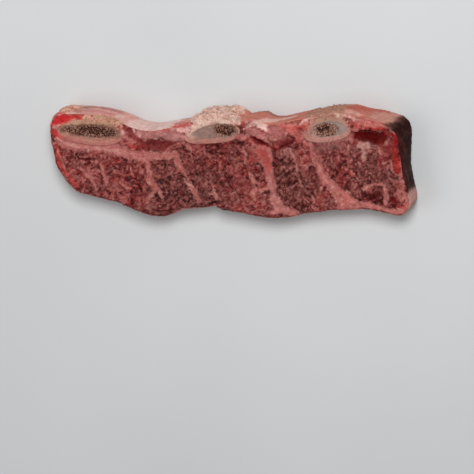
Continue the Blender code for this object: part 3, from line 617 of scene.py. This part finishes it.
def rib_place(flat, rib):
    """(x, y) in a rib's own axes, from its middle, with the arch and the taper taken out."""
    along, across = rib_turn(rib) @ (flat - np.array(rib["centre"])).T
    share = np.clip(along / (rib["length"] / 2), -1.0, 1.0)
    return along, (across + rib["arch"] * share ** 2) / (1.0 + rib["taper"] * share)


def rib_gap(flat, rib):
    """How far each (x, y) lies outside a rib's outline, and the way in."""
    half = np.array([rib["length"] / 2, rib["height"] / 2])
    scaled = np.stack(rib_place(flat, rib), axis=1) / half
    radius = np.linalg.norm(scaled, axis=1)
    slope = scaled / half / np.maximum(radius, 1e-6)[:, None]
    steepness = np.linalg.norm(slope, axis=1)
    return (radius - 1.0) / steepness, -(slope / steepness[:, None]) @ rib_turn(rib)


def depth_in(oval, along, across):
    """How deep a place lies inside an oval of a rib, about."""
    middle_along, middle_across, half_length, half_height = oval
    radius = np.hypot((along - middle_along) / half_length, (across - middle_across) / half_height)
    return (1.0 - radius) * half_height


class Cut:
    """Where each vertex of the meat lies in the pattern, and the noise that its layers share."""

    def __init__(self, place, normals):
        self.place = place
        self.normals = normals
        self.depth = THICKNESS - place[:, 2]
        self.side = 1.0 - ease(0.45, 0.85, np.abs(normals[:, 2]))
        self.wander = self.pair_of_noises(WANDER_SIZE, (3.1, 47.9))
        self.ripple = self.pair_of_noises(RIPPLE_SIZE, (11.3, 83.2))
        self.upright = leant_back(place)
        self.flat = self.upright + WANDER * self.wander + RIPPLE * self.ripple
        self.ragged = 0.55 * noise_at(place, 2.4, 29.0) + 0.35 * noise_at(place, 1.0, 66.0)
        self.coarse = fractal_at(place, 5.0, 21.0)
        self.fine = fractal_at(place, 1.4, 35.0)

    def pair_of_noises(self, size, seeds):
        return np.stack([noise_at(self.place, size, seed) for seed in seeds], axis=1)


def seams_and_clefts(cut):
    """How deep each vertex lies in a fat seam, a vein or a cleft."""
    kinds = (("fat", FAT_SEAMS, 0.9), ("vein", VEINS, 0.5), ("cleft", CLEFTS, 0.5))
    return {name: inside_runs(cut.flat, runs) + torn * cut.ragged for name, runs, torn in kinds}


def side_tint(cut):
    """Colour and lumpiness of the sides, with the tissue on the rib side and on the far end, and the
    painted shade and painted highlight among it.
    """
    drifted = cut.flat + SIDE_WANDER * cut.wander
    tint, lumpy = side_cover(drifted)
    for along, strokes, facing in (
        (drifted[:, 0], RIB_SIDE, ease(0.2, 0.6, cut.normals[:, 1])),
        (drifted[:, 1], END_SIDE, ease(0.4, 0.8, cut.normals[:, 0])),
    ):
        colours, share = tissue_cover(np.stack([along, cut.depth], axis=1), 2.0 * cut.ragged, strokes)
        tint = paint(tint, colours, share * facing)
    return tint, lumpy


def covers(cut):
    """What lies over lean and fat: tissue, the sides' skin, and crumbs and a hem round each rib."""
    tissue, tissue_share = tissue_cover(cut.flat, cut.ragged, TISSUE_AND_PAINTED_LIGHT)
    tissue_share *= 1.0 - 0.85 * cut.side
    tint, lumpy = side_tint(cut)
    crumb = np.zeros(len(cut.place))
    leaning = cut.flat + np.outer(np.maximum(cut.depth, 0.0), (CRUMB_LEAN, 0.0))
    for (colour, reach_down, run), rib in zip(CRUMBS, RIBS.values()):
        here = ease(-0.8, 0.8, inside_runs(leaning, (run,)) + cut.ragged)
        here *= ease(2.5, 0.0, cut.depth - reach_down + 2.0 * cut.ragged)
        gap, inward = rib_gap(cut.upright + 0.5 * cut.ripple, rib)
        close = 1.0 - ease(0.6, 2.4, gap + cut.ragged)
        here = np.maximum(here, 0.9 * close * ease(-0.75, -0.97, inward[:, 1]))
        tint = paint(tint, srgb(colour), here)
        crumb = np.maximum(crumb, here)
        # The hem is tissue below each rib; below the middle rib it is a dark painted shadow
        colour, most = rib["hem"]
        hem = most * close * ease(0.2, 0.8, inward[:, 1])
        tissue = paint(tissue, srgb(colour), hem)
        tissue_share = np.maximum(tissue_share, hem)
    lumpy = np.maximum(crumb, lumpy)
    return dict(tissue=tissue, tissue_share=tissue_share, tint=tint, crumb=crumb, lumpy=lumpy)


def cut_fibres(cut):
    """The lean's colour and grain: lobes that are longer one way or the other by muscle."""
    tone, redness, upright_share = muscle_at(cut.flat)
    turned = ease(0.35, 0.65, upright_share + 0.5 * noise_at(cut.place, 9.0, 5.5))
    warped = cut.place + np.pad(cut.wander + cut.ripple, ((0, 0), (0, 1)))
    lobes = folds_at(warped * LYING, FOLD_SIZE, 9.0) * (1.0 - turned)
    lobes += folds_at(warped * STANDING, FOLD_SIZE, 61.0) * turned
    crease, bundle = bundles_at(cut.flat + WANDER * cut.wander, BUNDLE_SIZE)
    crease *= ease(-0.7, 0.3, cut.coarse)
    grain = lobes + 0.35 * (cut.coarse + cut.fine + bundle) - 0.5 * crease
    grain = (grain - grain.mean()) / grain.std()
    grain = np.where(grain > 0.0, GRAIN_TOP * np.tanh(grain / GRAIN_TOP), GRAIN_PIT * grain)
    web = ease(0.11, 0.02, np.abs(noise_at(warped, WEB_SIZE, 120.0))) * ease(-0.4, 0.3, cut.fine)
    cracks = ease(0.22, 0.04, lobes) * ease(-0.5, 0.3, cut.coarse)
    return dict(tone=tone, redness=redness, grain=grain, web=web, cracks=cracks)


def crumb_lumps(cut):
    """The rounded lumps of loose tissue, and the low ground between them, which gets painted shade."""
    wander, ripple = 1.4 * cut.wander, cut.ripple
    drift = np.stack([wander[:, 1] + ripple[:, 1], wander[:, 0], 1.4 * ripple[:, 0]], axis=1)
    lumps = 0.8 * folds_at(cut.place + drift, LUMP_SIZE, 14.0) + 0.35 * noise_at(cut.place, 2.2, 50.0)
    borders = ease(0.6, 0.1, lumps) * ease(-0.2, 0.4, noise_at(cut.place, 5.0, 71.0))
    return lumps, borders


def lips(cut):
    """The meat's ragged edge over each rib's rim: a move for each vertex."""
    move = np.zeros_like(cut.place)
    ragged = 0.5 + 1.3 * noise_at(cut.place, 4.0, 91.0) + 0.5 * noise_at(cut.place, 1.5, 12.0)
    ragged = np.clip(ragged, 0.0, 1.4)
    near_top = ease(THICKNESS - 2.2, THICKNESS - 0.9, cut.place[:, 2])
    for rib in RIBS.values():
        gap, inward = rib_gap(cut.upright, rib)
        close = near_top * (1.0 - ease(0.5, 2.0, gap)) * ease(-1.5, -0.6, gap)
        move[:, :2] += inward * (LIP_REACH * close * ragged)[:, None]
        move[:, 2] += LIP_HEIGHT * close * ragged
    return move


def build_meat():
    """Lean, seams and membranes: the CAD node's form, with fibres, clefts and crumbs worked into it."""
    piece = dense_copy("meat", "meat_cut", MEAT_VOXEL, 2)
    mesh = piece.data
    points, normals = read_points(mesh)
    cut = Cut(drawn(points), normals)
    fields = {**seams_and_clefts(cut), **covers(cut), **cut_fibres(cut)}
    lumps, borders = crumb_lumps(cut)
    loose = np.maximum(fields["crumb"], cut.side * fields["lumpy"])

    # The relief: grain on the lean, waves on the fat, then hollows, veins and crumbs
    lean = (1.0 - ease(-0.6, 0.5, fields["fat"])) * (1.0 - 0.6 * cut.side)
    lean *= 1.0 - 0.7 * fields["tissue_share"]
    height = lean * (GRAIN_HEIGHT * fields["grain"] - CRACK_DEPTH * fields["cracks"])
    height += (1.0 - lean) * (FAT_WAVES[0] * cut.fine + FAT_WAVES[1] * cut.coarse)
    height -= CLEFT_DEPTH * ease(-0.5, 0.5, fields["cleft"])
    height -= POOL_DEPTH * ease(-1.2, 1.6, inside_runs(cut.flat, POOLS))
    height += VEIN_HEIGHT * ease(-0.5, 0.3, fields["vein"])
    height += loose * (LUMP_HEIGHT * (lumps - 0.5) + CRUMB_GRIT * cut.fine)
    free = ease(0.0, 1.5, cut.place[:, 2])
    move_points(mesh, points, normals * (height * free)[:, None] + lips(cut))

    store(mesh, side=cut.side, borders=borders * loose, **fields)
    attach(piece, "root")
    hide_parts("meat")
    return piece


def rib_tint(rib, place, along, across, gap, rough, core):
    """A sawn rib's colours: a wall with a fatty rim and stains, and dense bone inside it."""
    upper = ease(-0.45, 0.35, across / (rib["height"] / 2) + 0.1 * rough)
    mottled = fractal_at(place * [0.6, 1.3, 1.0], 2.6, 77.0)
    rim = ease(-2.8, 0.4, gap + 1.2 * mottled + 0.4 * rough)
    fatty = ease(-4.4, -0.6, gap + 1.6 * mottled + 0.4 * rough)
    ends = ease(0.65, 1.0, np.abs(along) / (rib["length"] / 2))
    crest, most = rib["crest"]
    tint = paint(srgb(rib["lower"]), srgb(rib["upper"]), upper)
    tint = paint(tint, srgb(crest), most * rim * upper)
    tint = paint(tint, srgb(rib["rim"]), fatty * np.maximum(0.85 * (1.0 - upper), 0.6 * ends))
    tint = paint(tint, srgb(STAIN), 0.5 * ease(0.0, 0.5, fractal_at(place, 4.5, 91.0)))
    return paint(tint, srgb(rib["dense"]), ease(-0.7, 0.7, core))


def build_rib(name):
    """One sawn rib: the hard wall and the spongy core, whose colours run into each other."""
    rib = RIBS[name]
    pieces = []
    for node, label in (("bone_" + name, "rib_wall_"), ("marrow_" + name, "rib_core_")):
        piece = dense_copy(node, label + name, BONE_VOXEL, 1)
        mesh = piece.data
        points, normals = read_points(mesh)
        place = drawn(points)
        flat = leant_back(place)
        along, across = rib_place(flat, rib)
        gap, _ = rib_gap(flat, rib)
        rough = fractal_at(place, 0.9, 40.0)

        # How deep a place lies inside the core, and how open the bone is there
        core = depth_in(rib["core"], along, across) + 0.9 * fractal_at(place, 3.0, 5.0)
        uneven = 0.9 * noise_at(place, 2.6, 2.0)
        open_share = ease(-0.6, 1.0, depth_in(rib["sponge"], along, across) + 0.6 * uneven)
        open_share *= ease(-0.4, 0.8, core)
        pores = open_share * ease(-0.8, 1.6, depth_in(rib["dark"], along, across) + uneven)

        # The core swells to fill its bore, and the wall swells outside only
        upward = ease(0.6, 0.9, np.abs(normals[:, 2]))
        worn = ease(-2.2, 0.0, gap + 0.4 * rough)
        height = upward * (SAW_MARKS * rough - PORE_DEPTH * pores - WORN_RIM * worn)
        swell = CORE_SWELL
        if label == "rib_wall_":
            swell = np.where(gap > -1.5, WALL_SWELL + WALL_ROUGH * rough, 0.0)
        free = ease(0.0, 0.5, place[:, 2])
        move_points(mesh, points, normals * (height * free + (1.0 - upward) * swell)[:, None])

        tint = rib_tint(rib, place, along, across, gap, rough, core)
        store(mesh, tint=tint, pores=pores, open=open_share)
        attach(piece, "root")
        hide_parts(node)
        pieces.append(piece)
    return pieces


class Shader:
    """One procedural material. An input takes a number, a colour or another node's output."""

    def __init__(self, name):
        self.material = bpy.data.materials.new(name)
        self.material.use_nodes = True
        self.tree = self.material.node_tree
        texture = self.tree.nodes.new("ShaderNodeTexCoord")
        self.place = self.scale(texture.outputs["Object"], 1.0 / MM)

    def node(self, kind, values=(), **settings):
        made = self.tree.nodes.new(kind)
        for key, value in settings.items():
            setattr(made, key, value)
        for socket, value in values:
            self.fill(made.inputs[socket], value)
        return made

    def fill(self, socket, value):
        if isinstance(value, bpy.types.NodeSocket):
            self.tree.links.new(value, socket)
        elif isinstance(value, tuple) and socket.type == "RGBA":
            socket.default_value = (*srgb(value), 1.0)
        else:
            socket.default_value = value

    def scale(self, vector, factor):
        """A vector or a colour times a number."""
        values = [("Vector", vector), ("Scale", factor)]
        return self.node("ShaderNodeVectorMath", values, operation="SCALE").outputs[0]

    def math(self, operation, a, b=0.0, c=0.0):
        return self.node("ShaderNodeMath", [(0, a), (1, b), (2, c)], operation=operation).outputs[0]

    def times(self, a, b):
        return self.math("MULTIPLY", a, b)

    def plus(self, a, b):
        return self.math("ADD", a, b)

    def times_plus(self, a, b, c):
        """a times b, plus c."""
        return self.math("MULTIPLY_ADD", a, b, c)

    def around(self, value, amount, middle=1.0):
        """A noise of mean 0.5 as a spread of that amount about the middle."""
        return self.times_plus(value, amount, middle - 0.5 * amount)

    def stir(self, value, noise, amount):
        """A value with a noise of mean 0.5 added as a spread of that amount."""
        return self.plus(value, self.around(noise, amount, 0.0))

    def read(self, name, output="Fac"):
        return self.node("ShaderNodeAttribute", attribute_name=name).outputs[output]

    def noise(self, size, detail=2.0, roughness=0.5, seed=0.0, stretch=(1.0, 1.0, 1.0)):
        mapped = self.node("ShaderNodeMapping", [
            ("Vector", self.place), ("Location", (seed, -seed, 2 * seed)), ("Scale", stretch),
        ]).outputs["Vector"]
        return self.node("ShaderNodeTexNoise", [
            ("Vector", mapped), ("Scale", 1.0 / size), ("Detail", detail), ("Roughness", roughness),
        ]).outputs["Fac"]

    def soft(self, value, low, high):
        """0 at low, 1 at high, with a soft ramp between."""
        return self.node("ShaderNodeMapRange", [("Value", value), ("From Min", low), ("From Max", high)],
                         interpolation_type="SMOOTHSTEP").outputs["Result"]

    def blend(self, share, a, b):
        made = self.node("ShaderNodeMix", data_type="RGBA")
        sockets = [s for s in made.inputs if s.enabled]
        for socket, value in zip(sockets, (share, a, b)):
            self.fill(socket, value)
        return [s for s in made.outputs if s.enabled][0]

    def lay(self, colour, layers):
        """A colour with others laid over it, each as (where, share, colour)."""
        for where, share, over in layers:
            colour = self.blend(self.times(where, share), colour, over)
        return colour

    def ramp(self, value, stops, colours):
        made = self.node("ShaderNodeValToRGB", [("Fac", value)])
        elements = made.color_ramp.elements
        while len(elements) < len(stops):
            elements.new(0.5)
        for element, position, colour in zip(elements, stops, colours):
            element.position = position
            element.color = (*srgb(colour), 1.0)
        return made.outputs["Color"]

    def bump(self, height, distance):
        values = [("Height", height), ("Distance", distance * MM), ("Strength", 0.6)]
        return self.node("ShaderNodeBump", values).outputs["Normal"]

    def finish(self, **inputs):
        surface = self.tree.nodes["Principled BSDF"].inputs
        for name, value in inputs.items():
            self.fill(surface[name.replace("_", " ")], value)
        return self.material


class MeatShader(Shader):
    """The raw meat's material, with the noise that its layers share."""

    def __init__(self):
        super().__init__("raw_meat")
        self.fine = self.noise(1.1, roughness=0.55, seed=4.0)
        self.mottle = self.noise(2.8, seed=90.0)
        self.patches = self.noise(8.0, seed=23.0)
        self.ragged = self.around(self.fine, 1.6, 0.0)

    def torn(self, field, reach, low, high):
        """A field of the mesh as a share, with a ragged edge."""
        return self.soft(self.times_plus(self.ragged, reach, self.read(field)), low, high)


def lean_colour(s):
    """Painted shade in the creases and painted light on the lobes, over each muscle's own tone, redder in
    some muscles than in others.
    """
    # The grain term follows the relief that the same grain raises: painted shade in its creases and painted
    # light on the lobes' tops, besides the bundles' own tone; the muscle's tone and the noise are the
    # lean's own colour
    light = s.stir(s.times_plus(s.read("grain"), 0.19, s.read("tone")), s.fine, 0.42)
    light = s.stir(light, s.mottle, 0.25)
    bloody = s.soft(s.stir(s.read("redness"), s.patches, 1.5), 0.0, 1.0)
    colour = s.blend(bloody, s.ramp(light, LEAN_STOPS, BROWN_LEAN), s.ramp(light, LEAN_STOPS, RED_LEAN))
    # Sparse pale flecks, partly fat specks and partly painted glints
    flecks_and_glints = s.soft(s.noise(1.2, detail=0.0, seed=17.0), 0.70, 0.82)
    flecks_and_glints = s.times(flecks_and_glints, s.soft(s.patches, 0.5, 0.62))
    # The cracks between the lobes are darkened with painted shade
    return s.lay(colour, (
        (flecks_and_glints, 0.45, FLECK_AND_GLINT), (s.read("web"), 0.45, WEB), (s.read("cracks"), 0.7, CRACK_SHADE),
    ))


def vein_share(s):
    """Marbling, broken along its way."""
    broken = s.soft(s.noise(2.4, detail=1.0, seed=55.0), 0.34, 0.56)
    return s.times(s.torn("vein", 1.0, -0.6, 0.7), s.times_plus(broken, 0.65, 0.2))


def fat_colour(s):
    """Fat that is streaked along its seam."""
    strand = s.times_plus(s.patches, 3.0, s.read("fat"))
    streaks = s.node("ShaderNodeTexNoise", [("W", strand), ("Scale", 1.3), ("Detail", 1.0)],
                     noise_dimensions="1D").outputs["Fac"]
    tone = s.stir(s.around(streaks, 0.8, 0.54), s.mottle, 0.75)
    return s.ramp(s.stir(tone, s.fine, 0.4), FAT_STOPS, SEAM_FAT)


def side_colour(s):
    """Membrane, fat and cut lean by place, with sinews, and painted shade in fine crevices and between
    lumps where it crumbles.
    """
    lumpy = s.read("lumpy")
    spread = s.around(s.plus(s.mottle, s.fine), 1.1, -0.55)
    colour = s.scale(s.read("tint", "Color"), s.times_plus(spread, s.times_plus(lumpy, 0.7, 0.2), 1.0))
    colour = s.scale(colour, s.around(s.noise(2.0, seed=38.0, stretch=(0.22, 0.8, 1.0)), 0.7))
    colour = s.scale(colour, s.around(s.noise(1.5, seed=63.0, stretch=(1.0, 1.0, 0.15)), 0.35))
    toasted = s.times(s.soft(s.noise(2.2, roughness=0.6, seed=44.0), 0.5, 0.66), lumpy)
    # Specks of painted shade for fine crevices in the crumbs, and painted shade in the low ground between
    # lumps
    fine_crevice_shade = s.times(s.soft(s.noise(0.9, detail=1.0, seed=77.0), 0.52, 0.66), s.read("crumb"))
    return s.lay(colour, (
        (toasted, 0.55, TOASTED), (fine_crevice_shade, 0.38, FINE_CREVICE_SHADE), (s.read("borders"), 0.8, CRUMB_BORDER_SHADE),
    ))


def tissue_colour(s):
    mottled = s.times(s.around(s.mottle, 0.8), s.around(s.fine, 0.6))
    # The grain darkens the tissue in the relief's creases and lightens it on the lobes: painted shade and
    # painted light
    mottled = s.times(mottled, s.times_plus(s.read("grain"), 0.13, 1.0))
    return s.scale(s.read("tissue", "Color"), mottled)


def meat_material():
    """Lean, then marbling, seams, sides, tissue and the clefts' painted shade over it, with a film of
    juice.
    """
    s = MeatShader()
    seam = s.soft(s.stir(s.plus(s.read("fat"), s.ragged), s.mottle, 1.3), -0.95, 0.75)
    edge = s.math("MAXIMUM", s.torn("side", 0.3, 0.3, 0.75), s.torn("crumb", 0.4, 0.25, 0.75))
    share = s.read("tissue_share")
    share = s.times(share, s.soft(s.stir(share, s.fine, 0.9), 0.0, 0.6))
    colour = s.blend(vein_share(s), lean_colour(s), MARBLING)
    colour = s.blend(seam, colour, fat_colour(s))
    colour = s.blend(edge, colour, side_colour(s))
    colour = s.blend(share, colour, tissue_colour(s))
    # The clefts are darkened with painted shade
    colour = s.lay(colour, ((s.torn("cleft", 0.6, -0.5, 0.4), 0.85, CLEFT_SHADE),))

    # The relief is weaker on fat and on the sides, and the juice lies on the cut face only
    smooth = s.math("MAXIMUM", seam, s.times(edge, 0.6))
    relief = s.times_plus(s.noise(0.55, detail=1.0, seed=9.0), 0.5, s.fine)
    normal = s.bump(s.times(relief, s.times_plus(smooth, -0.6, 1.0)), 0.35)
    wet = s.times(s.soft(s.noise(3.2, seed=12.0), 0.4, 0.62), s.math("SUBTRACT", 1.0, edge))
    wet = s.times(wet, s.times_plus(share, -0.8, 1.0))
    return s.finish(
        Base_Color=colour, Roughness=0.6, Specular_IOR_Level=0.03, Normal=normal,
        Coat_Weight=s.times_plus(wet, 0.32, 0.05), Coat_Roughness=0.14, Coat_Normal=normal,
        Subsurface_Weight=0.15, Subsurface_Radius=(1.0, 0.35, 0.25), Subsurface_Scale=MM,
    )


def bone_material():
    """Dense sawn bone, and a porous sponge where the rib is open."""
    s = Shader("sawn_rib")
    fine = s.noise(0.8, roughness=0.55, seed=4.0)
    sponge = s.noise(0.72, detail=1.0, seed=19.0, stretch=(1.1, 0.9, 0.4))
    uneven = s.times(s.around(fine, 0.6), s.around(s.noise(3.0, seed=8.0), 0.4))
    light = s.stir(s.around(sponge, 2.5, 0.46), fine, 0.8)
    light = s.math("SUBTRACT", light, s.times_plus(s.read("pores"), 0.32, -0.1))
    dense = s.scale(s.read("tint", "Color"), uneven)
    colour = s.blend(s.read("open"), dense, s.ramp(light, SPONGE_STOPS, SPONGE))
    height = s.times_plus(s.times(light, s.read("open")), 1.2, fine)
    return s.finish(
        Base_Color=colour, Roughness=0.6, Specular_IOR_Level=0.15, Normal=s.bump(height, 0.3),
        Subsurface_Weight=0.06, Subsurface_Radius=(1.0, 0.6, 0.4), Subsurface_Scale=MM,
    )


def floor_material():
    s = Shader("pale_floor")
    return s.finish(Base_Color=s.ramp(s.noise(180.0), FLOOR_STOPS, FLOOR), Roughness=0.7)


# The camera looks down on the cut face from a little beyond the rib side and the far end, as in the photo
VIEW_LEAN = math.radians(18.0)
STRIP_TURN = math.radians(5.17)
PIXELS_PER_MM = 1.872
IMAGE_SIZE = 474
DISTANCE = 1640.0
SENSOR = 36.0
CENTRE_PX = (229.0, 165.0)

# The studio in metres and watts, with each lamp as (name, place, size, power)
FLOOR_REACH = 3.0
SKY_STRENGTH = 0.22
LAMPS = (("key", (0.3, 0.5, 0.9), 0.35, 8.5), ("fill", (-0.6, -0.1, 0.8), 0.6, 2.0))


def build_camera():
    """Aims the camera so that the drawing plane's middle on the cut face falls on CENTRE_PX."""
    lean, turn = VIEW_LEAN, Matrix.Rotation(-STRIP_TURN, 3, "Z")
    right = turn @ Vector((math.cos(lean), 0.0, -math.sin(lean)))
    back = turn @ Vector((math.sin(lean) * math.cos(lean), math.sin(lean), math.cos(lean) ** 2))
    up = back.cross(right)
    middle = Vector(SHIFT + [0.0, 0.0, THICKNESS])
    aim = middle + right * (IMAGE_SIZE / 2 - CENTRE_PX[0]) / PIXELS_PER_MM
    aim -= up * (IMAGE_SIZE / 2 - CENTRE_PX[1]) / PIXELS_PER_MM
    data = bpy.data.cameras.new("camera")
    data.sensor_width = SENSOR
    data.lens = PIXELS_PER_MM * SENSOR * DISTANCE / IMAGE_SIZE
    camera = add_object("camera", data)
    turned = Matrix((right, up, back)).transposed().to_4x4()
    camera.matrix_world = Matrix.Translation((aim + back * DISTANCE) * MM) @ turned
    bpy.context.scene.camera = camera


def add_lamp(name, place, size, power):
    """A square lamp aimed at the strip."""
    data = bpy.data.lights.new(name, "AREA")
    data.shape = "SQUARE"
    data.size = size
    data.energy = power
    lamp = add_object(name, data)
    lamp.location = place
    lamp.rotation_euler = (-Vector(place)).to_track_quat("-Z", "Y").to_euler()


def build_studio():
    """A pale floor, soft lamps and an even sky."""
    mesh = bpy.data.meshes.new("floor")
    corners = [(x * FLOOR_REACH, y * FLOOR_REACH, 0.0) for x, y in ((-1, -1), (1, -1), (1, 1), (-1, 1))]
    mesh.from_pydata(corners, [], [(0, 1, 2, 3)])
    mesh.materials.append(floor_material())
    floor = add_object("floor", mesh)
    for lamp in LAMPS:
        add_lamp(*lamp)
    world = bpy.data.worlds.new("sky")
    world.use_nodes = True
    sky = world.node_tree.nodes["Background"]
    sky.inputs["Color"].default_value = (1.0, 1.0, 1.0, 1.0)
    sky.inputs["Strength"].default_value = SKY_STRENGTH
    bpy.context.scene.world = world
    bpy.context.scene.view_settings.view_transform = "Standard"


build_camera()
build_studio()
build_meat().data.materials.append(meat_material())
bone = bone_material()
for rib_name in RIBS:
    for piece in build_rib(rib_name):
        piece.data.materials.append(bone)
